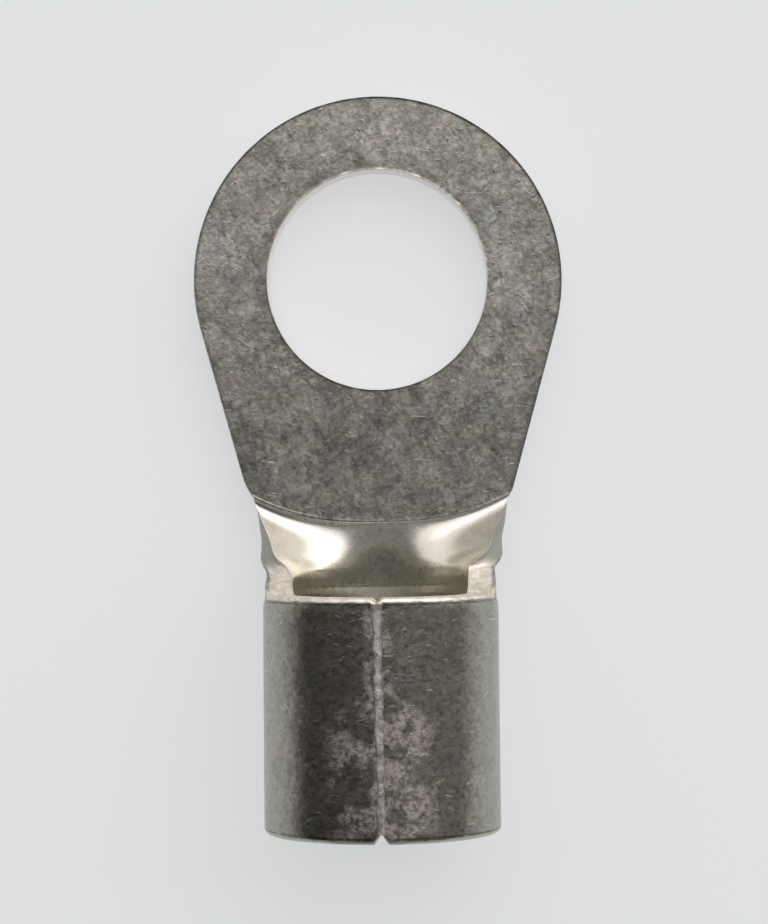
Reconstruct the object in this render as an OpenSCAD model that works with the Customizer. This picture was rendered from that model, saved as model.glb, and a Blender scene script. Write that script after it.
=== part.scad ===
// Ring-tongue cable lug for a 70 mm2 conductor and an M16 stud.
// One sheet blank: a flat ring tongue, a spoon-shaped neck and a rolled barrel
// whose butt seam is brazed shut along the top.
// Origin: centre of the stud hole, on the contact face under the tongue.
// +Y runs to the tip of the tongue, the barrel runs along -Y, +Z is up.

/* [Sheet] */
// Thickness of the sheet that the whole lug is made from
sheet_t = 2.1; // [1.2:0.1:2.6]
// Radius of the rounded edge that blanking leaves on the outer face
roll_r = 0.5; // [0.2:0.05:0.8]

/* [Ring tongue] */
// Diameter of the stud hole at its straight land
stud_d = 16.8; // [10:0.1:20]
// Width of the ring round the stud hole
ring_w = 28.5; // [26:0.5:32]
// Angle between each tapered side and the centre line
taper_angle = 15.5; // [13:0.5:18]
// How far the hole opens out towards its top edge, in radius
break_out = 0.15; // [0.05:0.05:0.4]
// Height of the opened-out upper part of the hole
break_h = 0.8; // [0.3:0.1:1]

/* [Barrel] */
// Bore of the rolled barrel
bore_d = 13.6; // [12:0.1:15]
// Length of the closed barrel
barrel_l = 18; // [12:0.5:30]
// Stud hole centre to the open end of the barrel
hole_to_end = 42; // [40:0.5:50]
// Width of the groove that the seam leaves along the top
seam_w = 0.8; // [0.4:0.1:1.4]
// Depth of the seam groove
seam_h = 0.25; // [0.1:0.05:0.4]
// Width of the notch where the seam meets the open end
notch_w = 0.9; // [0.4:0.1:1.6]
// Length of the open end's notch along the seam
notch_l = 0.8; // [0.3:0.1:2]
// Length of the smaller notch at the seam's neck end
neck_notch_l = 0.4; // [0.2:0.1:1]

/* [Neck] */
// Height of the tongue's contact face above the underside of the barrel
tongue_rise = 0.7; // [0.3:0.1:2]
// Width of the blank between the tongue and the barrel
neck_w = 17.4; // [17:0.1:20]
// Length of the open spoon, from the middle of the crease to the barrel
spoon_l = 5.3; // [4.5:0.1:7]
// How far the ends of the crease lie nearer to the tip than its middle
crease_bow = 2.2; // [0.5:0.1:2.5]
// How far the crease draws each side of the sheet in
draw_in = 0.2; // [0:0.05:0.4]
// Depth of the step that coining leaves along the crease
coin_step = 0.15; // [0.05:0.05:0.3]
// Length over which the blank widens from the neck to the rolled wall
shoulder_l = 1.9; // [1.5:0.1:3]
// Angle round the bore, from the bottom, at which the neck's arms end
arm_angle = 103; // [95:1:115]

/* [Hidden] */
$fn = 96;

ring_r = ring_w / 2;
stud_r = stud_d / 2;
bore_r = bore_d / 2;
wall_r = bore_r + sheet_t;
mid_r = bore_r + sheet_t / 2;

// The barrel runs from mouth_y back to end_y, round an axis at axis_z.
end_y = -hole_to_end;
mouth_y = end_y + barrel_l;
axis_z = wall_r - tongue_rise;

// The crease bows across the top face towards the barrel, flattest in the middle.
crease_mid_y = mouth_y + spoon_l;
crease_side_y = crease_mid_y + crease_bow;
crease_power = 2.6;

// The sheet is fully round this far before the closed barrel starts.
round_lead = 1.1;
round_y = mouth_y + round_lead;

// The flat plate ends just ahead of the crease, and the neck starts in it.
plate_lead = 0.4;
plate_y = crease_side_y + plate_lead;
lap = 0.3;
skin_gap = 0.02;

eps = 0.01;

// ---- The blank: half its width, measured along the middle of the sheet ----

function taper_half(y) = ring_r / cos(taper_angle) + y * tan(taper_angle);

// The larger of two widths, with the corner between them rounded off.
function soft_max(a, b, blend = 0.3) =
    (a + b + sqrt((a - b) * (a - b) + blend * blend)) / 2;

function clamp(value) = min(1, max(0, value));

function smooth(part) = part * part * (3 - 2 * part);

arm_half = mid_r * arm_angle * PI / 180;
shoulder_y = mouth_y + shoulder_l;
shoulder_power = 0.9;
draw_l = 1;

function blank_half(y) =
    let (side = taper_half(y) - draw_in * smooth(clamp((plate_y - y) / draw_l)),
         neck = soft_max(side, neck_w / 2))
    neck + (arm_half - neck) * pow(clamp((shoulder_y - y) / shoulder_l), shoulder_power);

// ---- The neck: the inner face of the sheet at (across, along) ----
// across runs from -1 to 1 between the two cut edges.
// along is below 0 on the flat, 0 at the crease, 1 where the sheet is fully
// round, and 2 at the barrel's mouth.

function crease_y(across) = crease_mid_y + crease_bow * pow(abs(across), crease_power);

function mix(a, b, part) = a + (b - a) * part;

function row_y(across, along) =
    along < 0 ? mix(crease_y(across), plate_y, -along)
    : along < 1 ? mix(crease_y(across), round_y, along)
    : mix(round_y, mouth_y, along - 1);

// Share of the barrel's curvature. It sets in at once at the crease, grows
// slowly along the spoon, then fast up to the round wall, and eases out there.
spoon_curl = 0.68;
spoon_part = 0.72;
least_curl = 0.0001;
function curl(along) =
    let (part = clamp(along),
         late = clamp((part - spoon_part) / (1 - spoon_part)))
    max(least_curl, mix(spoon_curl * part, 1, smooth(late)));

// The middle of the spoon sinks as the sheet curls.
function floor_z(along) = sheet_t - tongue_rise * curl(along);

// The coined step is deepest at the arms and fades out along the spoon.
step_part = 0.04;
function step_depth(across, along) =
    along <= 0 || along >= 1 ? 0
    : coin_step * across * across * min(1, along / step_part) * (1 - along);

function edge_half(along) = blank_half(row_y(1, along));

function turn(across, along) = across * edge_half(along) * curl(along) / mid_r * 180 / PI;

function inner(across, along) =
    let (angle = turn(across, along),
         face_r = mid_r / curl(along) - sheet_t / 2)
    [face_r * sin(angle), row_y(across, along), floor_z(along) + face_r * (1 - cos(angle))];

function unit(v) = v / norm(v);

// Direction through the sheet. It leans along the neck less and less, so that
// the outer face closes in on the barrel's own without a fold.
crease_lean = 0.6;
function outward(across, along) =
    let (angle = turn(across, along),
         normal = unit(cross(inner(across + eps, along) - inner(across - eps, along),
                             inner(across, along + eps) - inner(across, along - eps))),
         part = clamp(along),
         lean = crease_lean * (1 - part * part))
    unit([sin(angle), lean * normal[1], -cos(angle)]);

// The rounded edge takes this much off the outer face near a cut edge.
function roll_off(d) =
    d >= roll_r ? 0 : roll_r - sqrt(roll_r * roll_r - (roll_r - d) * (roll_r - d));

// Stations across the sheet: a few close to each edge, the rest even.
edge_steps = [0, 0.06, 0.25, 0.6, 1];
even_steps = 34;

function stations(along) =
    let (rim = [for (e = edge_steps) 1 - e * roll_r / edge_half(along)],
         last = rim[len(rim) - 1])
    concat([for (r = rim) -r],
           [for (i = [1:even_steps - 1]) mix(-last, last, i / even_steps)],
           [for (i = [len(rim) - 1:-1:0]) rim[i]]);

// Stations along the neck, close together over the coined step and again where
// the sheet turns round.
even_rows = 15;
rows = concat([-0.5, 0, step_part, 0.1],
              [for (i = [2:even_rows]) 1 - pow(1 - i / even_rows, 1.25)],
              [1.25, 1.5, 1.75]);

function top_row(along, sink) =
    [for (a = stations(along))
        inner(a, along) + (step_depth(a, along) + sink) * outward(a, along)];

function under_row(along, sink) =
    [for (a = stations(along))
        inner(a, along)
        + (sheet_t - sink - roll_off((1 - abs(a)) * edge_half(along))) * outward(a, along)];

function moved(row, along_y) = [for (p = row) p + [0, along_y, 0]];

// Its two ends lie inside the plate and inside the barrel's wall.
module neck() {
    top = concat([moved(top_row(-1, skin_gap), lap)],
                 [for (r = rows) top_row(r, skin_gap)],
                 [moved(top_row(2, skin_gap), -lap)]);
    under = concat([moved(under_row(-1, skin_gap), lap)],
                   [for (r = rows) under_row(r, skin_gap)],
                   [moved(under_row(2, skin_gap), -lap)]);
    skin(top, under, len(top), len(top[0]));
}

// Closed shell between two grids of points.
module skin(top, under, n_rows, n_cols) {
    shift = n_rows * n_cols;
    points = concat([for (row = top) for (p = row) p], [for (row = under) for (p = row) p]);
    function at(j, i) = j * n_cols + i;
    sheet = [for (j = [0:n_rows - 2]) for (i = [0:n_cols - 2])
        for (f = [[at(j, i), at(j, i + 1), at(j + 1, i + 1)],
                  [at(j, i), at(j + 1, i + 1), at(j + 1, i)]]) f];
    back = [for (f = sheet) [f[2] + shift, f[1] + shift, f[0] + shift]];
    sides = [for (j = [0:n_rows - 2]) for (i = [0, n_cols - 1])
        let (a = at(j, i), b = at(j + 1, i))
        for (f = [[a, b, b + shift], [a, b + shift, a + shift]])
            i == 0 ? f : [f[2], f[1], f[0]]];
    caps = [for (i = [0:n_cols - 2]) for (j = [0, n_rows - 1])
        let (a = at(j, i), b = at(j, i + 1))
        for (f = [[a, a + shift, b + shift], [a, b + shift, b]])
            j == 0 ? f : [f[2], f[1], f[0]]];
    polyhedron(points = points, faces = concat(sheet, back, sides, caps), convexity = 6);
}

// ---- The flat tongue ----

// What a rounded outer edge removes from a square corner at the origin.
module corner_waste() {
    difference() {
        translate([-roll_r, -roll_r]) square(roll_r + 1);
        translate([-roll_r, -roll_r]) circle(roll_r);
        translate([-2 * roll_r, -2 * roll_r]) square([roll_r, 2 * roll_r + 1]);
        translate([-2 * roll_r, -2 * roll_r]) square([2 * roll_r + 1, roll_r]);
    }
}

module ring() {
    rotate_extrude() difference() {
        square([ring_r, sheet_t]);
        translate([ring_r, 0]) mirror([0, 1]) corner_waste();
    }
}

// The tapered web. Its sides run a hair inside the ring's tangents, so that they
// cross the ring's rim cleanly.
web_sink = 0.03;

module web() {
    sunk_r = ring_r - web_sink;
    top = [sunk_r * cos(taper_angle), -sunk_r * sin(taper_angle)];
    foot = [taper_half(plate_y) - web_sink, plate_y];
    side_l = norm(foot - top);
    difference() {
        linear_extrude(sheet_t)
            polygon([[-top[0], top[1]], top, foot, [-foot[0], foot[1]]]);
        for (side = [0, 1])
            mirror([side, 0, 0])
                translate([top[0], top[1], 0])
                    rotate([90, 0, -taper_angle])
                        translate([0, 0, -1])
                            linear_extrude(side_l + 2)
                                mirror([0, 1]) corner_waste();
    }
}

// Straight land below, opened out above.
module stud_hole() {
    land_h = sheet_t - break_h;
    rotate_extrude()
        polygon([[0, -1], [stud_r, -1], [stud_r, land_h],
                 [stud_r + break_out, sheet_t],
                 [stud_r + break_out, sheet_t + 1], [0, sheet_t + 1]]);
}

// ---- The rolled barrel ----

// Wall of the barrel, turned about its axis: 0 at the mouth, barrel_l at the open end.
module barrel_wall() {
    rotate_extrude() difference() {
        translate([bore_r, 0]) square([sheet_t, barrel_l]);
        translate([wall_r, barrel_l]) corner_waste();
    }
}

// The rounded edge at the mouth goes only round the top, clear of the two arms.
arm_clear = 2;

module mouth_edge() {
    open_angle = 360 - 2 * (arm_angle + arm_clear);
    rotate([0, 0, 90 - open_angle / 2])
        rotate_extrude(angle = open_angle)
            translate([wall_r, 0]) mirror([0, 1]) corner_waste();
}

// Groove of the brazed butt seam. Its cutter stands proud of the round wall.
module seam_groove() {
    proud = seam_w * seam_w / (4 * wall_r);
    translate([0, wall_r - proud / 2, -1])
        linear_extrude(barrel_l + 2)
            polygon([[-seam_w / 2, proud], [-seam_w / 2, 0], [0, -seam_h],
                     [seam_w / 2, 0], [seam_w / 2, proud]]);
}

// Notch of the given length at the seam's end, cut through the wall.
module end_notch(length) {
    translate([0, wall_r + 1, 0]) rotate([90, 0, 0])
        linear_extrude(sheet_t + 2)
            polygon([[-notch_w / 2, -eps], [0, length], [notch_w / 2, -eps]]);
}

module barrel() {
    translate([0, mouth_y, axis_z]) rotate([90, 0, 0])
        difference() {
            barrel_wall();
            mouth_edge();
            seam_groove();
            end_notch(neck_notch_l);
            translate([0, 0, barrel_l]) mirror([0, 0, 1]) end_notch(notch_l);
        }
}

module lug() {
    color([0.56, 0.55, 0.53]) union() {
        difference() {
            union() {
                ring();
                web();
            }
            stud_hole();
        }
        neck();
        barrel();
    }
}

lug();
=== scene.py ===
"""Ring-tongue cable lug of tinned copper sheet, lying flat on a pale table, seam up.

The lug is rebuilt as one fine mesh of its folded sheet. Sizes are in millimetres
in the part's own frame, and MM turns them into metres. A place on the flat blank
is (u, y): u runs across along the middle of the sheet, and y runs along the part.
"""

import math

import bpy
import numpy as np
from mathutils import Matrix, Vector, kdtree, noise
from mathutils.geometry import delaunay_2d_cdt


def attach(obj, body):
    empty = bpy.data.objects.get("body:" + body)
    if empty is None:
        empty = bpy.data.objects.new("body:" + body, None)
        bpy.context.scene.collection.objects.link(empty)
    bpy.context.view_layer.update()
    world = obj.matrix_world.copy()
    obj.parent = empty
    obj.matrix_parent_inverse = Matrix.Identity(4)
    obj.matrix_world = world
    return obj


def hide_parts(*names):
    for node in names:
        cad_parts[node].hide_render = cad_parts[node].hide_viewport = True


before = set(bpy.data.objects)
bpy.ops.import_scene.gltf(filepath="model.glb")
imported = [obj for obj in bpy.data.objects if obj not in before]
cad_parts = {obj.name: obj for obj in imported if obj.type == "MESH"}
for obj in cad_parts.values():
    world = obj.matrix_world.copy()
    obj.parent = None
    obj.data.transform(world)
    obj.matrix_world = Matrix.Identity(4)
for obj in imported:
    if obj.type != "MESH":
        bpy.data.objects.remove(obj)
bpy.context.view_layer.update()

MM = 0.001

# ---------------------------------------------------------------- sizes (mm)
# A pair of values is for the left and the right side, which differ a little.

SHEET_T = 2.1
STUD_R = 8.4
RING_R = 14.25
TAPER = math.radians(15.5)
TANGENT_Y = -RING_R * math.sin(TAPER)
BORE_R = 6.8
WALL_R = BORE_R + SHEET_T
MID_R = BORE_R + SHEET_T / 2
MOUTH_Y = -24.0
END_Y = -42.0
RISE = 0.7
AXIS_Z = WALL_R - RISE
ARM_HALF = MID_R * math.radians(103)
SEAM_HALF = MID_R * math.pi - 0.015

# The hole is broken out towards its upper edge, most of all at the upper left.
BREAK_H = 0.8
BREAK_OUT = 0.17
BREAK_LEAN = 0.1
BREAK_ANGLE = math.radians(125)

# Die roll of the outer side's edges, by place.
ROLL_R = 0.5
MOUTH_ROLL_R = 0.36
NECK_ROLL_R = 0.2
SEAM_ROLL_R = 0.14
HOLE_ROLL_R = 0.22
NECK_ROLL_FROM = -16.2
NECK_ROLL_TO = -24.4

# The blank from the tongue to the barrel.
DRAW_IN = (0.45, 0.2)
DRAW_AT = ((-15.2, 2.6), (-16.1, 1.0))
NECK_HALF = 9.05
NECK_EXTRA = (0.0, 0.35)
FLARE = (1.15, 1.45)
FLARE_AT = (-18.8, 3.8)
SHOULDER_L = 2.15
SHOULDER_POWER = 1.5
SHOULDER_BULGE = 0.25

# The neck in (across, along). Across runs from -1 to 1 between the sheet's edges.
# Along is -1 at the plate, STEP at the crease, 0 where the curl starts, 1 where the
# sheet is round and 2 at the mouth.
PLATE_Y = -15.4
STEP = -0.3
CREASE_MID_Y = -18.7
CREASE_BOW = 2.2
CREASE_POWER = 2.6
LEDGE_W = 0.12
LEDGE_LEFT_W = 0.45
LEDGE_DEPTH = 0.13
LEDGE_MIDDLE = 0.35
LEDGE_RIGHT = 0.7
SPOON_DEPTH = 0.03
RIDGE_H = 0.02
ROUND_OFF = 0.3
ARM_SOONER = (0.35, 0.85)
SQUEEZE = 0.022
SQUEEZE_FROM = (-21.9, 1.2)
SQUEEZE_TO = (-24.1, 0.9)
CURL_START = 0.03
CURL_L = 0.72
CURLED_FIRST = 4.9
CURLED_LAST = ARM_HALF + 1.5
NECK_LEAN = 0.6
BEND_STEPS = 240

# The barrel and its seam, from the mouth to the open end.
BARREL_GROWTH = 0.05
SEAM_DRIFT = (0.27, 0.07)
NOTCHES = ((END_Y, 1, 0.85, 0.5), (MOUTH_Y, -1, 0.4, 0.45))
NOTCH_POWER = 1.3
NOTCH_REACH = 3.0

# How fine the mesh is. RIM gives the rows beside each cut edge.
RIM = [0.0, 0.025, 0.07, 0.13, 0.2, 0.29, 0.39, 0.5, 0.65]
ACROSS_N = 84
AROUND_STEP = 0.22
LENGTH_STEP = 0.28
NET_STEP = 0.42
NET_ROW = 0.87
NET_OFF_RING = 0.9
NET_OFF_SIDE = 0.95
NET_OFF_HOLE = 1.15
NET_OFF_NECK = 0.3
SIDE_STEP = 0.3
RING_N = 190
HOLE_N = 200
WALL_LEVELS = [0.12, 0.3, 0.5, 0.7, 0.88]
NECK_ALONGS = (
    [-1, -0.85, -0.7, -0.6, -0.52, -0.45, -0.39, -0.35, -0.325, -0.312, -0.3]
    + [-0.285, -0.27, -0.255, -0.24, -0.2, -0.15, -0.1, -0.06, -0.03, -0.01, 0.01]
    + [0.03, 0.05, 0.08, 0.11]
    + [1 - 0.89 * (1 - i / 38) ** 1.2 for i in range(1, 39)]
    + [1.12, 1.25, 1.38, 1.5, 1.62, 1.75, 1.88]
)

# Small unevenness of the sheet and of its cut faces.
WAVE_H = 0.012
BURR_H = 0.035
BURR_W = 0.09
TEAR_H = 0.02

# Edges that turn by more than this, in degrees, are shaded sharp.
SHEET_SHARP = 38
BRAZE_SHARP = 50


def wobble(x, y, z, size, octaves=3):
    """Smooth noise of about -1 to 1, with features of the given size in mm."""
    point = Vector((x / size, y / size, z / size))
    return noise.fractal(point, 1.0, 2.0, octaves)


def clamp(value):
    return min(1.0, max(0.0, value))


def smooth(part):
    return part * part * (3 - 2 * part)


def ease(value):
    return smooth(clamp(value))


def mix(a, b, part):
    return a + (b - a) * part


def soft_max(a, b, blend=0.3):
    return (a + b + math.sqrt((a - b) ** 2 + blend * blend)) / 2


def pick(pair, side):
    """The left or the right value of a pair, by the sign of a place."""
    return pair[0] if side < 0 else pair[1]


def past(y, start, length):
    """Smooth 0 to 1 on the way from the tongue to the barrel."""
    return ease((start - y) / length)


# ------------------------------------------------- the blank and how it folds


def taper_half(y):
    """Half the width between the tongue's straight sides."""
    return RING_R / math.cos(TAPER) + y * math.tan(TAPER)


def drawn_in(y, side):
    """The crease draws the sheet's sides in, the left one more than the right."""
    return pick(DRAW_IN, side) * past(y, *pick(DRAW_AT, side))


def blank_half(y, side=1):
    """Half the blank's width on one side, measured along the middle of the sheet."""
    least = NECK_HALF + pick(NECK_EXTRA, side)
    neck = soft_max(taper_half(y) - drawn_in(y, side), least)
    neck += pick(FLARE, side) * past(y, *FLARE_AT)
    part = clamp((MOUTH_Y + SHOULDER_L - y) / SHOULDER_L)
    wider = (ARM_HALF - neck) * part ** SHOULDER_POWER
    return neck + wider * (1 + SHOULDER_BULGE * (1 - part))


def crease_y(across):
    """Upper line of the coined crease, bowed towards the barrel."""
    return CREASE_MID_Y + CREASE_BOW * abs(across) ** CREASE_POWER


def ledge_w(across):
    """Width of the coined ledge between the crease's line and the curl."""
    return LEDGE_W + LEDGE_LEFT_W * max(0.0, -across) ** 0.8


def round_y(across):
    """Where the sheet is fully round: later in the middle than at the arms."""
    return MOUTH_Y + ROUND_OFF + pick(ARM_SOONER, across) * across * across


def row_y(across, along):
    """Place along the part of a point of the neck."""
    crease = crease_y(across)
    start = crease - ledge_w(across)
    if along < STEP:
        return mix(crease, PLATE_Y, (STEP - along) / (1 + STEP))
    if along < 0:
        return mix(start, crease, along / STEP)
    if along < 1:
        return mix(start, round_y(across), along)
    return mix(round_y(across), MOUTH_Y, along - 1)


def edge_half(along, side):
    return blank_half(row_y(side, along), side)


def squeeze(y):
    """The mouth is pressed a little narrower than the rest of the barrel."""
    return 1 - SQUEEZE * past(y, *SQUEEZE_FROM) * (1 - past(y, *SQUEEZE_TO))


def step_depth(across, along):
    """How far the coined ledge and the spoon's start lie under the sheet's face."""
    amount = mix(LEDGE_MIDDLE, 1.0, abs(across))
    if across > 0:
        amount *= LEDGE_RIGHT
    fade = 1 - ease(along / 0.5)
    ledge = LEDGE_DEPTH * ease((along - STEP) / 0.07)
    spoon = SPOON_DEPTH * ease((along + 0.03) / 0.05)
    ridge = RIDGE_H * math.exp(-(((along - STEP + 0.012) / 0.014) ** 2))
    return amount * (fade * (ledge + spoon) - ridge)


def curl(along):
    """Share of the barrel's curvature that the middle of the sheet has taken."""
    return ease((along - CURL_START) / CURL_L)


def curled_half(along):
    """Half the width that is curled. The flanks beyond it are still straight."""
    return mix(CURLED_FIRST, CURLED_LAST, ease((along - 0.56) / 0.58) ** 1.3)


def bend_at(along, arc):
    """Curvature across the sheet at a length from its middle."""
    edge = curled_half(along)
    return curl(along) * (1 - ease((arc - edge + 1.2) / 2.4)) / MID_R


def half_section(along, side):
    """The middle of the sheet from its centre to one edge: places and angles."""
    ds = edge_half(along, side) / BEND_STEPS
    x = z = angle = 0.0
    places = []
    for k in range(BEND_STEPS + 1):
        places.append((x, z, angle))
        bend = bend_at(along, (k + 0.5) * ds)
        angle += bend * ds
        x += math.cos(angle - bend * ds / 2) * ds
        z += math.sin(angle - bend * ds / 2) * ds
    return places


def neck_section(along):
    """One row of the neck: stations, inner points and the sheet's turn at them."""
    halves = (half_section(along, -1), half_section(along, 1))
    stations = across_stations(along)
    low = SHEET_T - RISE * ease(along / 1.1)
    points, turns = [], []
    for across in stations:
        side = 1 if across > 0 else -1
        half = pick(halves, side)
        place = min(BEND_STEPS - 1e-6, abs(across) * BEND_STEPS)
        k = int(place)
        x, z, angle = (mix(p, q, place - k) for p, q in zip(half[k], half[k + 1]))
        inner_x = x - SHEET_T / 2 * math.sin(angle)
        inner_z = z - SHEET_T / 2 * (1 - math.cos(angle))
        y = row_y(across, along)
        points.append(np.array([side * inner_x * squeeze(y), y, low + inner_z]))
        turns.append(side * angle)
    return stations, points, turns


def neck_outs(along, before, here, after, turns):
    """Outward directions of a row, from the rows either side of it."""
    outs = []
    lean = NECK_LEAN * (1 - clamp(along) ** 2)
    for i, turn in enumerate(turns):
        left, right = max(0, i - 1), min(len(here) - 1, i + 1)
        wide = here[right] - here[left]
        normal = np.cross(wide, after[i] - before[i])
        normal /= np.linalg.norm(normal)
        out = np.array([math.sin(turn), lean * normal[1], -math.cos(turn)])
        outs.append(out / np.linalg.norm(out))
    return outs


def notched(u, y):
    """Moves points near the seam's ends back, where the blank's corners are cut."""
    off = SEAM_HALF - abs(u)
    for end, inward, length, width in NOTCHES:
        pull = length * max(0.0, 1 - off / width) ** NOTCH_POWER
        near = max(0.0, 1 - abs(y - end) / NOTCH_REACH)
        y += inward * pull * near
    return y


def barrel_place(u, y):
    """Inner face and outward direction of the barrel at a place on the blank."""
    y = notched(u, y)
    down = clamp((MOUTH_Y - y) / (MOUTH_Y - END_Y))
    drift = mix(*SEAM_DRIFT, down) * ease((abs(u) - ARM_HALF) / 6)
    turn = (u + drift) / MID_R
    radius = BORE_R + BARREL_GROWTH * down
    out = np.array([math.sin(turn), 0.0, -math.cos(turn)])
    point = np.array([0, y, AXIS_Z]) + radius * out
    point[0] *= squeeze(y)
    return point, out


def hole_top_r(angle):
    """Radius of the hole's upper edge, which the punch broke out unevenly."""
    return STUD_R + BREAK_OUT + BREAK_LEAN * math.cos(angle - BREAK_ANGLE)


# --------------------------------------------------------- the sheet as cells


class Sheet:
    """Points of the blank with their folded places, and the faces between."""

    def __init__(self):
        self.flat = []
        self.inner = []
        self.out = []
        self.step = []
        self.clean = []
        self.cells = []

    def add(self, flat, inner, out, step=0.0, clean=0.0):
        self.flat.append(flat)
        self.inner.append(inner)
        self.out.append(out)
        self.step.append(step)
        self.clean.append(clean)
        return len(self.flat) - 1

    def grid(self, rows):
        for a, b in zip(rows, rows[1:]):
            for i in range(len(a) - 1):
                self.cells.append((a[i], b[i], b[i + 1], a[i + 1]))


def spread(low, high, step):
    """Even stations between two values, ends left out."""
    count = max(1, round((high - low) / step))
    return [mix(low, high, i / count) for i in range(1, count)]


def across_stations(along):
    """Stations over the neck's width as shares of each side's half width."""
    left = edge_half(along, -1)
    right = edge_half(along, 1)
    rim_l = [-1 + r / left for r in RIM]
    rim_r = [1 - r / right for r in reversed(RIM)]
    inner = [mix(rim_l[-1], rim_r[0], i / ACROSS_N) for i in range(1, ACROSS_N)]
    return rim_l + inner + rim_r


def neck_rows(sheet):
    """Rows of the neck, from the tongue's plate to the mouth."""
    sections = [neck_section(along) for along in NECK_ALONGS]
    rows = []
    for k, along in enumerate(NECK_ALONGS):
        stations, points, turns = sections[k]
        before = sections[max(0, k - 1)][1]
        after = sections[min(len(sections) - 1, k + 1)][1]
        outs = neck_outs(along, before, points, after, turns)
        clean = ease((along - STEP) / 0.1)
        row = []
        for across, point, out in zip(stations, points, outs):
            side = 1 if across > 0 else -1
            flat = (across * edge_half(along, side), point[1])
            row.append(sheet.add(flat, point, out, step_depth(across, along), clean))
        rows.append(row)
    return rows


def barrel_rows(sheet):
    """Rows of the barrel: seam edge, round the bottom, seam edge.

    The middle part of the first row, which the neck joins, is given as well.
    """
    mid = [a * ARM_HALF for a in across_stations(2)]
    wing = [SEAM_HALF - r for r in RIM]
    wing += spread(SEAM_HALF - RIM[-1], ARM_HALF, -AROUND_STEP)
    us = [-u for u in wing] + mid + list(reversed(wing))
    ys = [MOUTH_Y - r for r in RIM]
    ys += spread(MOUTH_Y - RIM[-1], END_Y + RIM[-1], -LENGTH_STEP)
    ys += [END_Y + r for r in reversed(RIM)]
    rows = []
    for y in ys:
        rows.append([sheet.add((u, y), *barrel_place(u, y), 0.0, 1.0) for u in us])
    return rows, rows[0][len(wing):len(wing) + len(mid)]


class Plate:
    """Points and fixed edges of the flat tongue, before it is cut in triangles."""

    def __init__(self):
        self.points = []
        self.edges = []
        self.known = []

    def put(self, x, y, index=None):
        """Adds a point. One that the sheet has already comes with its index."""
        self.points.append(Vector((x, y)))
        self.known.append(index)
        return len(self.points) - 1

    def close(self, loop):
        self.edges += zip(loop, loop[1:] + loop[:1])


def outline_row(plate, r):
    """Points all along the tongue's outline, at a distance inside it."""
    sides = spread(PLATE_Y, TANGENT_Y, SIDE_STEP)
    off_x, off_y = r * math.cos(TAPER), r * math.sin(TAPER)
    row = [plate.put(blank_half(y, 1) - off_x, y + off_y) for y in sides]
    for i in range(RING_N + 1):
        a = mix(-TAPER, math.pi + TAPER, i / RING_N)
        row.append(plate.put((RING_R - r) * math.cos(a), (RING_R - r) * math.sin(a)))
    row += [plate.put(off_x - blank_half(y, -1), y + off_y) for y in reversed(sides)]
    return row


def hole_row(plate, r):
    """Points round the hole, at a distance outside its upper edge."""
    row = []
    for i in range(HOLE_N):
        a = 2 * math.pi * i / HOLE_N
        radius = hole_top_r(a) + r
        row.append(plate.put(radius * math.cos(a), radius * math.sin(a)))
    return row


def fill_plate(plate):
    """A triangular net of points over the rest of the tongue, off its edges."""
    reach = 15
    for j in range(int(40 / NET_STEP)):
        y = reach - j * NET_STEP * NET_ROW
        for i in range(int(2 * reach / NET_STEP)):
            x = -reach + (i + 0.5 * (j % 2)) * NET_STEP
            r = math.hypot(x, y)
            in_ring = r < RING_R - NET_OFF_RING
            in_web = y < -3.5 and abs(x) < taper_half(y) - NET_OFF_SIDE
            if not in_ring and not in_web:
                continue
            if r > STUD_R + NET_OFF_HOLE and y > PLATE_Y + NET_OFF_NECK:
                plate.put(x, y)


def on_plate(x, y):
    """Whether the middle of a triangle lies on the tongue's plate."""
    r = math.hypot(x, y)
    if r < hole_top_r(math.atan2(y, x)) - 0.01 or y < PLATE_Y:
        return False
    if y > TANGENT_Y:
        return r <= RING_R
    return abs(x) <= blank_half(y, x) - 0.002


def tongue_cells(sheet, last_row):
    """Flat plate round the hole, down to the neck's first row."""
    plate = Plate()
    outline = [outline_row(plate, r) for r in RIM][0]
    seam = [plate.put(*sheet.flat[i], i) for i in last_row]
    plate.close(outline + seam)
    hole = [hole_row(plate, r) for r in RIM][0]
    plate.close(hole)
    fill_plate(plate)

    verts, _, faces, origin, _, _ = delaunay_2d_cdt(plate.points, plate.edges, [], 0, 1e-6)
    index = []
    for (x, y), sources in zip(verts, origin):
        known = [plate.known[s] for s in sources if plate.known[s] is not None]
        if known:
            index.append(known[0])
        else:
            top = np.array([x, y, SHEET_T])
            index.append(sheet.add((x, y), top, np.array([0.0, 0.0, -1.0])))
    for face in faces:
        middle = [sum(verts[i][axis] for i in face) / 3 for axis in (0, 1)]
        if on_plate(*middle):
            sheet.cells.append(tuple(index[i] for i in face))


def build_sheet():
    sheet = Sheet()
    neck = neck_rows(sheet)
    tongue_cells(sheet, neck[0])
    barrel, mouth = barrel_rows(sheet)
    sheet.grid(neck)
    sheet.grid([neck[-1], mouth])
    sheet.grid(barrel)
    return sheet


def boundary_edges(cells):
    """Edges that only one cell has, in that cell's own direction."""
    seen = {}
    for cell in cells:
        for a, b in zip(cell, cell[1:] + cell[:1]):
            if (b, a) in seen:
                del seen[(b, a)]
            else:
                seen[(a, b)] = True
    return list(seen)


def edge_distance(sheet, rim):
    """Distance of each point of the blank from the nearest cut edge."""
    parts = 8
    tree = kdtree.KDTree(len(rim) * parts)
    count = 0
    for a, b in rim:
        pa, pb = sheet.flat[a], sheet.flat[b]
        for k in range(parts):
            t = k / parts
            tree.insert((mix(pa[0], pb[0], t), mix(pa[1], pb[1], t), 0), count)
            count += 1
    tree.balance()
    return np.array([tree.find((p[0], p[1], 0))[2] for p in sheet.flat])


# ------------------------------------------------------- the sheet's two faces


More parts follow.
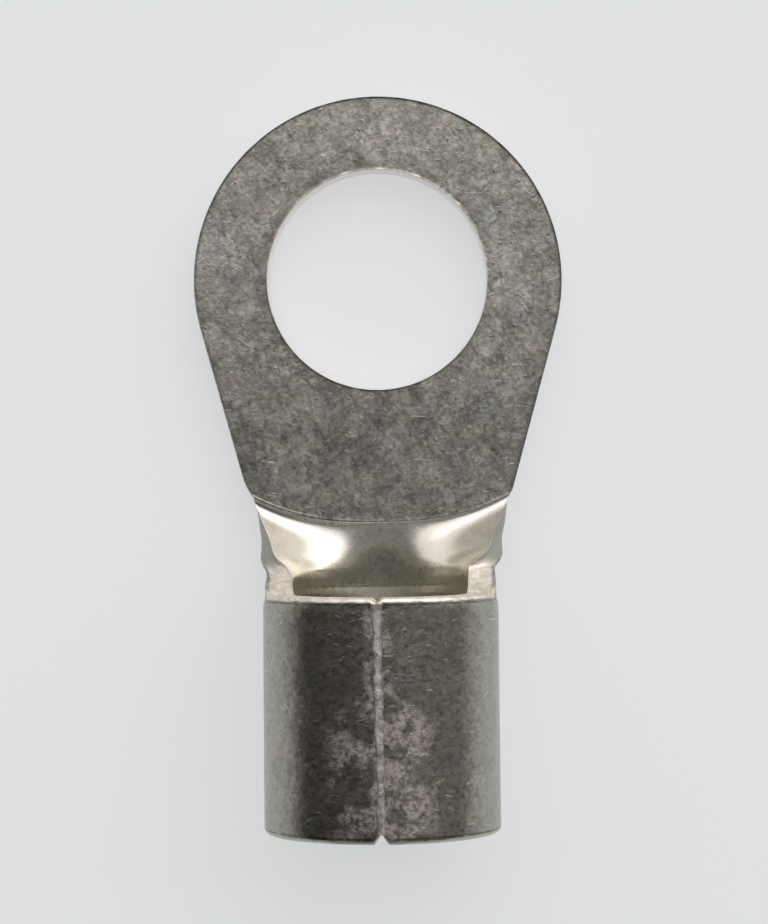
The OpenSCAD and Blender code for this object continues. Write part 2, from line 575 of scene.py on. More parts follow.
def roll_off(d, radius):
    """How far a rolled edge of a radius falls off, at a distance from the edge."""
    if d >= radius:
        return 0.0
    return radius - math.sqrt(max(0.0, radius * radius - (radius - d) ** 2))


def edge_roll(u, y):
    """Roll of the outer side's edge: small along the neck and the seam."""
    from_end = min(MOUTH_Y - y, y - END_Y)
    from_seam = SEAM_HALF - abs(u)
    neck = ease(y - NECK_ROLL_TO) * ease(NECK_ROLL_FROM - y)
    mouth = ease(1.5 - abs(y - MOUTH_Y))
    roll = mix(mix(ROLL_R, MOUTH_ROLL_R, mouth), NECK_ROLL_R, neck)
    return mix(roll, SEAM_ROLL_R, ease((from_end - from_seam) / 0.5))


def upper_point(inner, out, d, step):
    """A point of the inner face, slightly wavy, with a burr along its edge."""
    x, y, z = inner
    waves = WAVE_H * wobble(x, y, z, 5.0)
    burr = BURR_H * max(0.0, 1 - d / BURR_W) * (0.6 + 0.8 * wobble(x, y, z, 0.7))
    return inner + out * (waves - burr + step)


def under_point(inner, out, d, flat, at_hole):
    """A point of the outer face, slightly wavy, with its edge rolled off."""
    x, y, z = inner
    radius = HOLE_ROLL_R
    if not at_hole:
        radius = edge_roll(*flat) * (1 + 0.12 * wobble(x, y, z, 1.6))
    waves = WAVE_H * wobble(x, y, 9, 4.0)
    return inner + out * (SHEET_T - roll_off(d, radius) - WAVE_H - waves)


def wall_point(level, top, under, flat, at_hole):
    """A point on the cut face: torn near the inner face, sheared smooth below."""
    p = mix(top, under, level)
    x, y, z = p
    torn = clamp((0.6 - level) / 0.3)
    rough = TEAR_H * torn * wobble(x, y, z, 0.5, 4)
    if at_hole:
        angle = math.atan2(flat[1], flat[0])
        open_part = clamp(1 - SHEET_T * level / BREAK_H)
        radius = mix(STUD_R, hole_top_r(angle), open_part) + rough
        return np.array([radius * math.cos(angle), radius * math.sin(angle), z])
    centre = np.array([0, y, SHEET_T if y > MOUTH_Y else AXIS_Z])
    away = p - centre
    away[1] = 0
    length = np.linalg.norm(away)
    return p + away / length * (rough - TEAR_H * torn)


def lug_mesh():
    """The sheet's two faces, the cut faces between them, and the marks on them."""
    sheet = build_sheet()
    rim = boundary_edges(sheet.cells)
    dist = edge_distance(sheet, rim)
    flat = np.array(sheet.flat)
    count = len(flat)
    hole_d = np.hypot(flat[:, 0], flat[:, 1]) - STUD_R
    at_hole = (hole_d < 1.5) & (flat[:, 1] > -12)

    top, under = [], []
    for i, (inner, out) in enumerate(zip(sheet.inner, sheet.out)):
        top.append(upper_point(inner, out, dist[i], sheet.step[i]))
        under.append(under_point(inner, out, dist[i], flat[i], at_hole[i]))
    verts = top + under
    faces = []
    for cell in sheet.cells:
        faces.append(tuple(reversed(cell)))
        faces.append(tuple(i + count for i in cell))
    marks = {
        "blank": [(*p, 0.0) for p in flat] + [(*p, SHEET_T) for p in flat],
        "edge": list(dist) * 2,
        "cut": [0.0] * (2 * count),
        "clean": list(sheet.clean) + [0.0] * count,
        "hole": [float(h) for h in at_hole] * 2,
    }

    chains = {}
    for i in [end for edge in rim for end in edge]:
        if i in chains:
            continue
        chains[i] = [i, *range(len(verts), len(verts) + len(WALL_LEVELS)), i + count]
        for level in WALL_LEVELS:
            verts.append(wall_point(level, top[i], under[i], flat[i], at_hole[i]))
            marks["blank"].append((*flat[i], SHEET_T * level))
            marks["edge"].append(0.0)
            marks["cut"].append(1.0)
            marks["clean"].append(0.0)
            marks["hole"].append(float(at_hole[i]))
    for a, b in rim:
        left, right = chains[a], chains[b]
        for k in range(len(WALL_LEVELS) + 1):
            faces.append((left[k], right[k], right[k + 1], left[k + 1]))
    return verts, faces, marks


def new_object(name, verts, faces, sharp):
    """A smooth mesh object. Edges over an angle in degrees stay sharp."""
    mesh = bpy.data.meshes.new(name)
    mesh.from_pydata([Vector(v) * MM for v in verts], [], [tuple(f) for f in faces])
    mesh.validate()
    for polygon in mesh.polygons:
        polygon.use_smooth = True
    mesh.set_sharp_from_angle(angle=math.radians(sharp))
    obj = bpy.data.objects.new(name, mesh)
    bpy.context.scene.collection.objects.link(obj)
    return obj


def add_floats(mesh, name, values):
    data = mesh.attributes.new(name, "FLOAT", "POINT")
    data.data.foreach_set("value", np.asarray(values, dtype=np.float32))


def add_vectors(mesh, name, values):
    data = mesh.attributes.new(name, "FLOAT_VECTOR", "POINT")
    data.data.foreach_set("vector", np.asarray(values, dtype=np.float32).ravel())


def lug_piece():
    verts, faces, marks = lug_mesh()
    lug = new_object("lug_sheet", verts, faces, SHEET_SHARP)
    add_vectors(lug.data, "blank", marks["blank"])
    for name in ("edge", "cut", "clean", "hole"):
        add_floats(lug.data, name, marks[name])
    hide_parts("lug")
    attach(lug, "root")
    return lug


# ------------------------------------------------------------------ the braze

BRAZE_ROWS, BRAZE_COLS = 260, 14
BRAZE_FROM = MOUTH_Y - 0.42
BRAZE_TO = END_Y + 0.72
BRAZE_HALF = 0.44
BRAZE_DEPTH = 0.9
BRAZE_LAYER = 40.0  # Third coordinate in the noises, away from any of the sheet's.


def braze_points():
    """Rows of the bead's upper face, and the same rows deep in the seam."""
    top, under = [], []
    for j in range(BRAZE_ROWS + 1):
        y = mix(BRAZE_FROM, BRAZE_TO, j / BRAZE_ROWS)
        down = (MOUTH_Y - y) / (MOUTH_Y - END_Y)
        half = BRAZE_HALF + 0.15 * wobble(3.0, y, 1.0, 1.2)
        drift = mix(*SEAM_DRIFT, down) * WALL_R / MID_R
        middle = -drift + 0.04 * wobble(9.0, y, 4.0, 3.0)
        radius = WALL_R + BARREL_GROWTH * down
        for i in range(BRAZE_COLS + 1):
            side = mix(-1, 1, i / BRAZE_COLS)
            x = middle + half * side
            rise = 0.02 - 0.03 * side ** 2 - 0.1 * side ** 8 + 0.02 * wobble(x, y, 7.0, 0.9)
            top.append((x, y, AXIS_Z + math.sqrt((radius + rise) ** 2 - x * x)))
            under.append((x, y, AXIS_Z + math.sqrt((radius - BRAZE_DEPTH) ** 2 - x * x)))
    return top, under


def braze_faces(shift):
    """Faces of the bead. Points of its lower face are numbered from shift on."""

    def at(j, i):
        return j * (BRAZE_COLS + 1) + i

    def wall(a, b):
        return (a, a + shift, b + shift, b)

    faces = []
    for j in range(BRAZE_ROWS):
        for i in range(BRAZE_COLS):
            ring = (at(j, i), at(j + 1, i), at(j + 1, i + 1), at(j, i + 1))
            faces.append(ring)
            faces.append(tuple(v + shift for v in reversed(ring)))
        faces.append(wall(at(j, 0), at(j + 1, 0)))
        faces.append(wall(at(j, BRAZE_COLS), at(j + 1, BRAZE_COLS))[::-1])
    for i in range(BRAZE_COLS):
        faces.append(wall(at(0, i), at(0, i + 1)))
        faces.append(wall(at(BRAZE_ROWS, i), at(BRAZE_ROWS, i + 1))[::-1])
    return faces


def braze_piece():
    """Brazing metal that fills the butt seam, nearly flush with the barrel."""
    top, under = braze_points()
    verts = top + under
    braze = new_object("seam_braze", verts, braze_faces(len(top)), BRAZE_SHARP)
    add_vectors(braze.data, "blank", [(x, y, BRAZE_LAYER) for x, y, _ in verts])
    per_row = BRAZE_COLS + 1
    sides = [abs(mix(-1, 1, (i % per_row) / BRAZE_COLS)) for i in range(len(verts))]
    add_floats(braze.data, "edge", sides)
    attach(braze, "root")
    return braze


# -------------------------------------------------------------- material tools


class Paint:
    """Shader nodes of one material, with short calls for the common ones."""

    def __init__(self, name):
        self.material = bpy.data.materials.new(name)
        self.material.use_nodes = True
        self.tree = self.material.node_tree
        self.shader = self.tree.nodes["Principled BSDF"]

    def new(self, kind, **settings):
        node = self.tree.nodes.new(kind)
        for key, value in settings.items():
            setattr(node, key, value)
        return node

    def put(self, value, socket):
        if isinstance(value, bpy.types.NodeSocket):
            self.tree.links.new(value, socket)
        else:
            socket.default_value = value

    def attribute(self, name, output="Fac"):
        return self.new("ShaderNodeAttribute", attribute_name=name).outputs[output]

    def math(self, operation, a, b=0.0, c=0.0):
        node = self.new("ShaderNodeMath", operation=operation)
        for value, socket in zip((a, b, c), node.inputs):
            self.put(value, socket)
        return node.outputs[0]

    def times(self, product, *factors):
        for factor in factors:
            product = self.math("MULTIPLY", product, factor)
        return product

    def plus(self, value, factor, base):
        """A value times a factor, on top of a base."""
        return self.math("MULTIPLY_ADD", value, factor, base)

    def larger(self, a, b):
        return self.math("MAXIMUM", a, b)

    def opposite(self, mask):
        return self.math("SUBTRACT", 1.0, mask)

    def step(self, value, low, high, a=0.0, b=1.0):
        """Smooth step of a value from a at low to b at high."""
        node = self.new("ShaderNodeMapRange", interpolation_type="SMOOTHSTEP")
        for key, v in zip(("Value", "From Min", "From Max", "To Min", "To Max"),
                          (value, low, high, a, b)):
            self.put(v, node.inputs[key])
        return node.outputs["Result"]

    def shift(self, vector, offset, scale=(1, 1, 1), turn=0.0):
        """Scales a place, then turns it, then moves it."""
        node = self.new("ShaderNodeMapping")
        self.put(vector, node.inputs["Vector"])
        node.inputs["Location"].default_value = offset
        node.inputs["Rotation"].default_value = (0, 0, turn)
        node.inputs["Scale"].default_value = scale
        return node.outputs["Vector"]

    def noise(self, vector, scale, detail=2.0, rough=0.5, bend=0.0):
        node = self.new("ShaderNodeTexNoise")
        self.put(vector, node.inputs["Vector"])
        for key, v in (("Scale", scale), ("Detail", detail), ("Roughness", rough),
                       ("Distortion", bend)):
            node.inputs[key].default_value = v
        return node.outputs["Fac"]

    def patches(self, vector, low, high, **looks):
        """Soft-edged patches, where a noise rises from low to high."""
        return self.step(self.noise(vector, **looks), low, high)

    def mix(self, fac, a, b, blend="MIX"):
        node = self.new("ShaderNodeMix", data_type="RGBA", blend_type=blend)
        self.put(fac, node.inputs[0])
        for value, socket in ((a, node.inputs[6]), (b, node.inputs[7])):
            self.put(value if not isinstance(value, tuple) else (*value, 1.0), socket)
        return node.outputs[2]

    def lay(self, colour, mask, share, tone):
        """Lays a tone over a colour, by a share of a mask."""
        return self.mix(self.times(mask, share), colour, tone)

    def dashes(self, vector, cell, long, wide, share, turn, spread, bow=0.0):
        """Short strokes, one to a cell at most, each with its own angle and bow."""
        scaled = self.shift(vector, (cell * 3.7, cell * 1.9, 0), (1 / cell,) * 3)
        cells = self.new("ShaderNodeTexVoronoi", voronoi_dimensions="2D")
        self.put(scaled, cells.inputs["Vector"])
        cells.inputs["Scale"].default_value = 1.0
        away = self.new("ShaderNodeVectorMath", operation="SUBTRACT")
        self.put(scaled, away.inputs[0])
        self.put(cells.outputs["Position"], away.inputs[1])
        chance = self.new("ShaderNodeSeparateColor")
        self.put(cells.outputs["Color"], chance.inputs[0])
        turned = self.new("ShaderNodeVectorRotate", rotation_type="Z_AXIS")
        self.put(away.outputs[0], turned.inputs["Vector"])
        angle = self.plus(chance.outputs[0], spread, turn - spread / 2)
        self.put(angle, turned.inputs["Angle"])
        parts = self.new("ShaderNodeSeparateXYZ")
        self.put(turned.outputs[0], parts.inputs[0])
        x, y = parts.outputs[0], parts.outputs[1]
        curve = self.times(x, x, self.plus(chance.outputs[2], 2 * bow, -bow))
        off = self.math("ABSOLUTE", self.math("ADD", y, curve))
        across = self.step(off, 0.0, wide / cell, 1.0, 0.0)
        size = self.plus(chance.outputs[2], 0.7, 0.3)
        reach = self.math("DIVIDE", self.math("ABSOLUTE", x), size)
        along = self.step(reach, 0.5 * long / cell, long / cell, 1.0, 0.0)
        kept = self.math("LESS_THAN", chance.outputs[1], share)
        return self.times(across, along, kept)

    def worms(self, vector, scale, wide, cover, seed):
        """Thin wandering lines, broken up so that only part of each shows."""
        line = self.noise(self.shift(vector, (seed, -seed, seed * 0.5)), scale, 2.5, 0.6, 0.2)
        off = self.math("ABSOLUTE", self.math("SUBTRACT", line, 0.5))
        thin = self.step(off, 0.0, wide, 1.0, 0.0)
        where = self.shift(vector, (seed + 9, seed, 0))
        shown = self.patches(where, cover, cover + 0.06, scale=scale * 0.9, detail=1.0)
        return self.times(thin, shown)

    def metal(self, colour, rough, height):
        """Sets the shader to bare metal. The height of its relief is in mm."""
        self.put(colour, self.shader.inputs["Base Color"])
        self.shader.inputs["Metallic"].default_value = 1.0
        self.put(rough, self.shader.inputs["Roughness"])
        bump = self.new("ShaderNodeBump")
        bump.inputs["Distance"].default_value = MM
        self.put(height, bump.inputs["Height"])
        self.put(bump.outputs[0], self.shader.inputs["Normal"])
        return self.material


# ------------------------------------------------------------------- the tin

TIN_BROWN = (0.40, 0.385, 0.35)
TIN_GREY = (0.50, 0.475, 0.44)
TIN_PINK = (0.50, 0.42, 0.38)
TIN_BLUE = (0.42, 0.44, 0.46)
TIN_OLIVE = (0.38, 0.38, 0.30)
BARREL_DARK = (0.255, 0.232, 0.195)
# Paler tone down the barrel's sides: a painted reflection of the table.
BARREL_SIDE_REFLECTION = (0.42, 0.42, 0.365)
LINE_DARK = (0.15, 0.14, 0.125)
PIT_DARK = (0.16, 0.15, 0.14)
SPOT_DARK = (0.16, 0.155, 0.13)
SCRATCH_BRIGHT = (0.74, 0.71, 0.66)
CUT_BRIGHT = (0.76, 0.73, 0.69)
SOOT = (0.17, 0.165, 0.15)
DIE_OUTLINE = (0.13, 0.15, 0.13)
STAIN_PALE = (0.64, 0.56, 0.54)
BEADS_PALE = (0.62, 0.57, 0.56)
SPECK_DARK = (0.12, 0.115, 0.10)
CLEAN_DARK = (0.72, 0.68, 0.61)
CLEAN_LIGHT = (0.84, 0.80, 0.75)
CLEAN_OLIVE = (0.84, 0.80, 0.66)
BORE_TIN = (0.60, 0.585, 0.56)
CLEAN_PIT = (0.35, 0.33, 0.30)
CUT_DARK = (0.64, 0.59, 0.52)
CUT_LIGHT = (0.90, 0.84, 0.77)
CUT_HOLE = (0.97, 0.94, 0.90)
CUT_FLANK = (0.33, 0.33, 0.28)
CUT_END = (0.56, 0.58, 0.50)
# Dark line just past the rolled ends: painted shade.
RIM_PAINTED_SHADE = (0.09, 0.085, 0.07)


class Marks:
    """What the mesh tells the tin: where on the blank, and which kind of face."""

    def __init__(self, paint):
        self.blank = paint.attribute("blank", "Vector")
        self.edge = paint.attribute("edge")
        self.cut = paint.attribute("cut")
        self.clean = paint.attribute("clean")
        self.hole = paint.attribute("hole")
        place = paint.new("ShaderNodeSeparateXYZ")
        paint.put(self.blank, place.inputs[0])
        across, self.along, depth = place.outputs
        self.outer = paint.step(depth, 1.0, 1.2)
        self.worn = paint.opposite(self.clean)
        self.barrel = paint.times(paint.step(self.along, -23.6, -24.6), self.outer)
        self.beside = paint.math("SUBTRACT", SEAM_HALF, paint.math("ABSOLUTE", across))
        self.side = paint.times(paint.step(self.beside, 6.0, 8.4), self.barrel)
        self.fine = paint.noise(self.blank, 2.3, 5.0, 0.6, 0.6)


class Scratches:
    """Dark pits and wandering lines, and bright fresh scratches."""

    def __init__(self, paint, marks):
        blank = marks.blank
        coarse = paint.worms(blank, scale=0.42, wide=0.03, cover=0.48, seed=3.0)
        thin = paint.worms(blank, scale=0.95, wide=0.05, cover=0.5, seed=11.0)
        self.lines = paint.larger(coarse, thin)
        self.pits = paint.dashes(blank, cell=0.8, long=0.2, wide=0.12, share=0.22,
                                 turn=1.57, spread=3.1, bow=0.3)
        self.short = paint.dashes(blank, cell=1.1, long=0.42, wide=0.05, share=0.2,
                                  turn=0.0, spread=1.2, bow=0.2)
        self.long = paint.dashes(blank, cell=3.0, long=0.9, wide=0.08, share=0.3,
                                 turn=0.5, spread=1.3, bow=0.04)


def clouded(paint, marks):
    """Tarnished tin: grey-brown with faint pink, blue and olive clouds."""
    blank = marks.blank
    broad = paint.patches(blank, 0.35, 0.65, scale=0.16, detail=3.0)
    colour = paint.mix(broad, TIN_BROWN, TIN_GREY)
    for offset, scale, low, high, share, tone in (
        ((31, 7, 2), 0.42, 0.52, 0.68, 0.6, TIN_PINK),
        ((5, 43, 8), 0.34, 0.54, 0.7, 0.4, TIN_BLUE),
        ((17, 3, 51), 0.38, 0.54, 0.7, 0.5, TIN_OLIVE),
    ):
        place = paint.shift(blank, offset)
        cloud = paint.patches(place, low, high, scale=scale, detail=4.0, rough=0.6)
        colour = paint.lay(colour, cloud, share, tone)
    return colour


def mottling(paint, marks):
    """Light and dark of the worn tin: clouds, speckle and streaks both ways, and a painted
    shade that darkens the web towards the neck.
    """
    blank = marks.blank
    clouds = paint.patches(paint.shift(blank, (3, 9, 6)), 0.34, 0.66,
                           scale=0.5, detail=5.0, rough=0.68, bend=0.8)
    speckle = paint.patches(paint.shift(blank, (6, 2, 1)), 0.36, 0.64,
                            scale=3.2, detail=3.0, rough=0.65)
    level = paint.step(marks.fine, 0.3, 0.7, 0.84, 1.12)
    level = paint.times(level, paint.plus(clouds, 0.36, 0.82))
    level = paint.times(level, paint.plus(speckle, 0.30, 0.85))
    for turn, seed in ((0.9, 12), (-0.75, 23), (2.9, 34)):
        turned = paint.shift(blank, (0, 0, 0), turn=turn)
        place = paint.shift(turned, (seed, 0, 9), (1.9, 0.45, 1.0))
        streaks = paint.patches(place, 0.36, 0.50, scale=0.9, detail=4.0, rough=0.65, bend=0.5)
        level = paint.times(level, paint.plus(streaks, 0.24, 0.81))
    # Painted shade: the web between the hole and the neck is darkened, for the light falling
    # off away from the tip.
    web_painted_shade = paint.step(marks.along, -13.0, -4.0, 0.86, 1.0)
    return paint.times(level, web_painted_shade)


def tarnished(paint, marks):
    """Mottled tin all over, darker on the barrel, with its sides made paler as a painted
    reflection of the table.
    """
    grey = paint.new("ShaderNodeCombineXYZ")
    level = mottling(paint, marks)
    for socket in grey.inputs:
        paint.put(level, socket)
    colour = paint.mix(1.0, clouded(paint, marks), grey.outputs[0], "MULTIPLY")
    colour = paint.lay(colour, marks.barrel, 0.62, BARREL_DARK)
    # Painted reflection: the barrel's sides are made paler, standing in for the table's
    # grazing reflection.
    return paint.lay(colour, marks.side, 0.6, BARREL_SIDE_REFLECTION)


def scratched(paint, marks, scratches, colour):
    spots = paint.patches(paint.shift(marks.blank, (44, 5, 0)), 0.61, 0.68,
                          scale=0.8, detail=6.0, rough=0.75)
    colour = paint.lay(colour, scratches.lines, 0.28, LINE_DARK)
    colour = paint.lay(colour, scratches.pits, 0.6, PIT_DARK)
    colour = paint.lay(colour, spots, 0.5, SPOT_DARK)
    colour = paint.lay(colour, scratches.short, 0.5, SCRATCH_BRIGHT)
    return paint.lay(colour, scratches.long, 0.6, CUT_BRIGHT)


def sooted(paint, marks, colour):
    """Soot along the hole's edge, and the outline the die left on the tongue."""
    sooty = paint.patches(paint.shift(marks.blank, (1, 5, 2)), 0.40, 0.62,
                          scale=0.45, detail=4.0, rough=0.65)
    near_hole = paint.times(paint.step(marks.edge, 0.1, 1.1, 1.0, 0.0), marks.hole)
    colour = paint.lay(colour, paint.times(near_hole, sooty), 0.6, SOOT)
    tongue = paint.times(marks.worn, paint.step(marks.along, -17.0, -16.0))
    outline = paint.times(paint.step(marks.edge, 0.06, 0.34, 1.0, 0.0), tongue,
                          paint.opposite(marks.hole))
    return paint.lay(colour, outline, 0.7, DIE_OUTLINE)


class Flux:
    """Masks of the pale flux stains and specks of tin beside the brazed seam."""

    def __init__(self, paint, marks):
        blank, beside = marks.blank, marks.beside
        outside = paint.times(marks.outer, paint.step(marks.along, -24.6, -25.0))
        lower_half = paint.step(marks.along, -30.5, -33.5)
        reach = paint.plus(lower_half, 3.0, 1.0)
        near = paint.step(paint.math("DIVIDE", beside, reach), 0.6, 1.1, 1.0, 0.0)
        cloud = paint.patches(paint.shift(blank, (2, 61, 4), (1.0, 0.75, 1.0)), 0.43, 0.56,
                              scale=0.62, detail=5.0, rough=0.6, bend=0.3)
        crumbs = paint.patches(paint.shift(blank, (3, 3, 0)), 0.40, 0.56,
                               scale=3.0, detail=4.0, rough=0.7)
        self.stain = paint.times(cloud, near, outside, paint.plus(crumbs, 0.65, 0.35))
        self.specks = paint.patches(paint.shift(blank, (0, 0, 3)), 0.50, 0.60,
                                    scale=2.6, detail=4.0, rough=0.7)
        groups = paint.patches(paint.shift(blank, (7, 0, 5)), 0.42, 0.6,
                               scale=0.8, detail=3.0, rough=0.6)
        self.beads = paint.times(paint.step(beside, 1.0, 3.0, 1.0, 0.0), outside, groups)


def fluxed(paint, marks, flux, colour):
    colour = paint.lay(colour, flux.stain, 0.7, STAIN_PALE)
    colour = paint.lay(colour, flux.beads, 0.2, BEADS_PALE)
    speckled = paint.times(flux.specks, paint.plus(marks.side, -0.3, 0.55))
    return paint.lay(colour, speckled, marks.barrel, SPECK_DARK)


def clean_tin(paint, marks, scratches):
    """Cleaner, smoother tin inside the spoon and the bore."""
    along = marks.along
    soft = paint.patches(marks.blank, 0.3, 0.7, scale=0.5, detail=3.0)
    tin = paint.mix(soft, CLEAN_DARK, CLEAN_LIGHT)
    olive = paint.times(paint.step(along, -19.5, -23.0), paint.step(along, -26.0, -24.8))
    tin = paint.lay(tin, olive, 0.7, CLEAN_OLIVE)
    tin = paint.mix(paint.step(along, -24.6, -26.5), tin, BORE_TIN)
    return paint.lay(tin, scratches.pits, 0.25, CLEAN_PIT)


class Cuts:
    """Masks of the cut faces, of the rolled edge beside them at both ends, and of a painted
    shade line just past that edge.
    """

    def __init__(self, paint, marks):
        along, edge = marks.along, marks.edge
        self.open_end = paint.step(along, -41.2, -41.6)
        mouth = paint.times(paint.step(along, -23.4, -23.8), paint.step(along, -25.0, -24.8))
        ends = paint.larger(self.open_end, mouth)
        ragged = paint.plus(paint.noise(marks.blank, 1.6, 3.0), 0.3, 0.13)
        band = paint.math("LESS_THAN", edge, ragged)
        self.fresh = paint.larger(marks.cut, paint.times(band, marks.outer, ends))
        self.flank = paint.times(paint.step(along, -22.1, -21.2),
                                 paint.step(along, -15.0, -16.0))
        broken = paint.patches(marks.blank, 0.36, 0.5, scale=1.1, detail=3.0, rough=0.7)
        # Painted shade: a thin, broken dark line just past the rolled edge at both ends, for
        # the shadow and dark reflection there.
        self.rim = paint.times(paint.step(edge, 0.36, 0.42),
                               paint.step(edge, 0.44, 0.56, 1.0, 0.0),
                               ends, marks.outer, broken)


def cut_bare(paint, marks, cuts, colour):
    """Bare metal on the cut faces, with a painted shade line just past the rolled edge at both
    ends.
    """
    patchy = paint.patches(marks.blank, 0.35, 0.65, scale=1.5, detail=4.0, rough=0.7)
    bare = paint.mix(patchy, CUT_DARK, CUT_LIGHT)
    bare = paint.lay(bare, marks.hole, 0.8, CUT_HOLE)
    bare = paint.lay(bare, cuts.flank, 0.85, CUT_FLANK)
    bare = paint.mix(cuts.open_end, bare, CUT_END)
    colour = paint.mix(cuts.fresh, colour, bare)
    return paint.lay(colour, cuts.rim, 0.85, RIM_PAINTED_SHADE)


def tin_roughness(paint, marks, flux, cuts):
    rough = paint.plus(marks.fine, 0.14, 0.27)
    for mask, change in ((marks.clean, -0.06), (marks.barrel, -0.05), (cuts.fresh, 0.2),
                         (flux.stain, 0.18)):
        rough = paint.plus(mask, change, rough)
    return rough


def tin_relief(paint, marks, scratches, flux):
    """Height of the tin in mm: rough where it is worn, smooth where it is clean."""
    blank, worn = marks.blank, marks.worn
    grain = paint.noise(blank, 9.0, 3.0, 0.6)
    broad = paint.noise(paint.shift(blank, (8, 8, 8)), 0.55, 4.0, 0.55)
    torn = paint.noise(paint.shift(blank, (0, 0, 0), (1, 1, 0.35)), 4.0, 4.0, 0.7)
    height = paint.times(marks.fine, paint.plus(worn, 0.013, 0.003))
    for relief, by_wear, least in ((broad, 0.02, 0.01), (grain, 0.002, 0.0005),
                                   (scratches.pits, -0.007, -0.002),
                                   (scratches.short, -0.004, -0.001)):
        height = paint.plus(relief, paint.plus(worn, by_wear, least), height)
    for relief, depth in ((paint.times(flux.specks, flux.beads), -0.002),
                          (scratches.lines, -0.0015), (scratches.long, -0.004),
                          (paint.times(torn, marks.cut), 0.04)):
        height = paint.plus(relief, depth, height)
    return height


def tin_material():
    """One skin for the whole sheet, steered by the marks on the mesh."""
    paint = Paint("tinned_copper")
    marks = Marks(paint)
    scratches = Scratches(paint, marks)
    flux = Flux(paint, marks)
    cuts = Cuts(paint, marks)
    colour = tarnished(paint, marks)
    colour = scratched(paint, marks, scratches, colour)
    colour = sooted(paint, marks, colour)
    colour = fluxed(paint, marks, flux, colour)
    colour = paint.mix(marks.clean, colour, clean_tin(paint, marks, scratches))
    colour = cut_bare(paint, marks, cuts, colour)
    rough = tin_roughness(paint, marks, flux, cuts)
    return paint.metal(colour, rough, tin_relief(paint, marks, scratches, flux))


BRAZE_BROWN = (0.36, 0.33, 0.32)
BRAZE_PALE = (0.74, 0.69, 0.68)
BRAZE_SPECK = (0.17, 0.15, 0.14)
BRAZE_EDGE = (0.22, 0.20, 0.18)
BRAZE_ROUGH = 0.5


def braze_material():
    """Pale, crumbly metal with dark specks, which fades out at its sides."""
    paint = Paint("seam_braze")
    blank = paint.attribute("blank", "Vector")
    cloud = paint.noise(blank, 1.2, 5.0, 0.65)
    specks = paint.patches(paint.shift(blank, (4, 4, 4)), 0.58, 0.66,
                           scale=3.4, detail=3.0, rough=0.6)
    colour = paint.mix(paint.step(cloud, 0.35, 0.65), BRAZE_BROWN, BRAZE_PALE)
    colour = paint.lay(colour, specks, 0.7, BRAZE_SPECK)
    wander = paint.noise(paint.shift(blank, (9, 1, 1)), 1.3, 4.0, 0.7)
    fade = paint.step(paint.plus(wander, 0.9, paint.attribute("edge")), 0.75, 1.25)
    colour = paint.lay(colour, fade, 0.85, BRAZE_EDGE)
    height = paint.plus(specks, -0.01, paint.times(cloud, 0.03))
    return paint.metal(colour, BRAZE_ROUGH, height)


# ------------------------------------------------------------------ the stage

AIM = (0, -0.014, 0)
FLOOR_Z = -(RISE + 0.04) * MM
FLOOR_SIZE = 1.2
FLOOR_COLOUR = (0.72, 0.73, 0.735, 1)
FLOOR_PLAIN = (0.875, 0.895, 0.91, 1)
FLOOR_SHARE = 0.65
SKY_COLOUR = (1.0, 0.985, 0.96, 1)
KEY_PLACE = (0.08, 0.35, 0.3)
KEY_SIZE = (0.5, 0.3)
KEY_POWER = 0.5
CAMERA_PLACE = (0.00035, -0.01407, 0.2493)
CAMERA_TURN = math.radians(-0.55)
CAMERA_LENS = 124.3


def make_floor():
    """Pale table. Part of its tone is shown as it is, so the shadow stays faint."""
    bpy.ops.mesh.primitive_plane_add(size=FLOOR_SIZE, location=(AIM[0], AIM[1], FLOOR_Z))
    floor = bpy.context.object
    floor.name = "floor"
    paint = Paint("pale_table")
    shader = paint.shader
    shader.inputs["Base Color"].default_value = FLOOR_COLOUR
    shader.inputs["Roughness"].default_value = 0.9
    shader.inputs["Specular IOR Level"].default_value = 0.1
    plain = paint.new("ShaderNodeEmission")
    plain.inputs["Color"].default_value = FLOOR_PLAIN
    plain.inputs["Strength"].default_value = 1.0
    rays = paint.new("ShaderNodeLightPath")
    seen = paint.larger(rays.outputs["Is Camera Ray"], rays.outputs["Is Glossy Ray"])
    blend = paint.new("ShaderNodeMixShader")
    paint.put(paint.times(seen, FLOOR_SHARE), blend.inputs[0])
    paint.put(shader.outputs[0], blend.inputs[1])
    paint.put(plain.outputs[0], blend.inputs[2])
    out = next(n for n in paint.tree.nodes if n.type == "OUTPUT_MATERIAL")
    paint.put(blend.outputs[0], out.inputs["Surface"])
    floor.data.materials.append(paint.material)


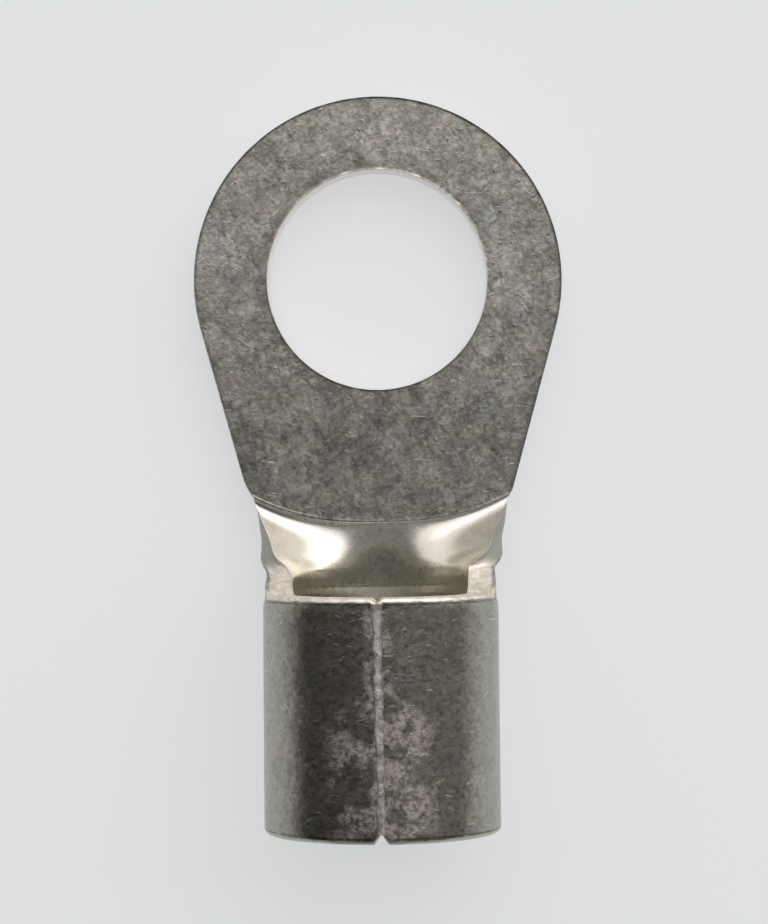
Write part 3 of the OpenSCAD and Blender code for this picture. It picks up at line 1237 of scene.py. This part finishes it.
def make_world():
    """Soft surroundings: bright towards +Y, dim on +X, nearly dark elsewhere."""
    world = bpy.data.worlds.new("studio")
    bpy.context.scene.world = world
    world.use_nodes = True
    nodes, links = world.node_tree.nodes, world.node_tree.links
    back = nodes["Background"]
    coord = nodes.new("ShaderNodeTexCoord")
    split = nodes.new("ShaderNodeSeparateXYZ")
    links.new(coord.outputs["Generated"], split.inputs[0])

    def ramp(axis, low, high, a, b):
        node = nodes.new("ShaderNodeMapRange")
        node.interpolation_type = "SMOOTHSTEP"
        for key, v in (("From Min", low), ("From Max", high), ("To Min", a), ("To Max", b)):
            node.inputs[key].default_value = v
        links.new(split.outputs[axis], node.inputs["Value"])
        return node.outputs["Result"]

    def combine(operation, a, b):
        node = nodes.new("ShaderNodeMath")
        node.operation = operation
        links.new(a, node.inputs[0])
        links.new(b, node.inputs[1])
        return node.outputs[0]

    toward_y = ramp("Y", 0.08, 0.20, 0.0, 1.15)
    lit_side = ramp("X", -0.7, 0.7, 0.75, 1.25)
    from_x = ramp("X", -0.5, 0.9, 0.05, 0.24)
    level = combine("ADD", combine("MULTIPLY", toward_y, lit_side), from_x)
    links.new(level, back.inputs["Strength"])
    back.inputs["Color"].default_value = SKY_COLOUR


def make_key_light():
    light = bpy.data.lights.new("key", "AREA")
    light.shape = "RECTANGLE"
    light.size, light.size_y = KEY_SIZE
    light.energy = KEY_POWER
    key = bpy.data.objects.new("key", light)
    key.location = KEY_PLACE
    key.rotation_mode = "QUATERNION"
    toward = Vector(AIM) - Vector(KEY_PLACE)
    key.rotation_quaternion = toward.to_track_quat("-Z", "Y")
    bpy.context.scene.collection.objects.link(key)


def make_camera():
    """Straight above the lug, turned by the small angle at which it is seen."""
    lens = bpy.data.cameras.new("camera")
    lens.sensor_width = 36
    lens.lens = CAMERA_LENS
    lens.clip_start = 0.01
    lens.clip_end = 10
    camera = bpy.data.objects.new("camera", lens)
    camera.location = CAMERA_PLACE
    camera.rotation_euler = (0, 0, CAMERA_TURN)
    bpy.context.scene.collection.objects.link(camera)
    bpy.context.scene.camera = camera


lug_piece().data.materials.append(tin_material())
braze_piece().data.materials.append(braze_material())
make_floor()
make_world()
make_key_light()
make_camera()

bpy.context.scene.view_settings.view_transform = "Standard"
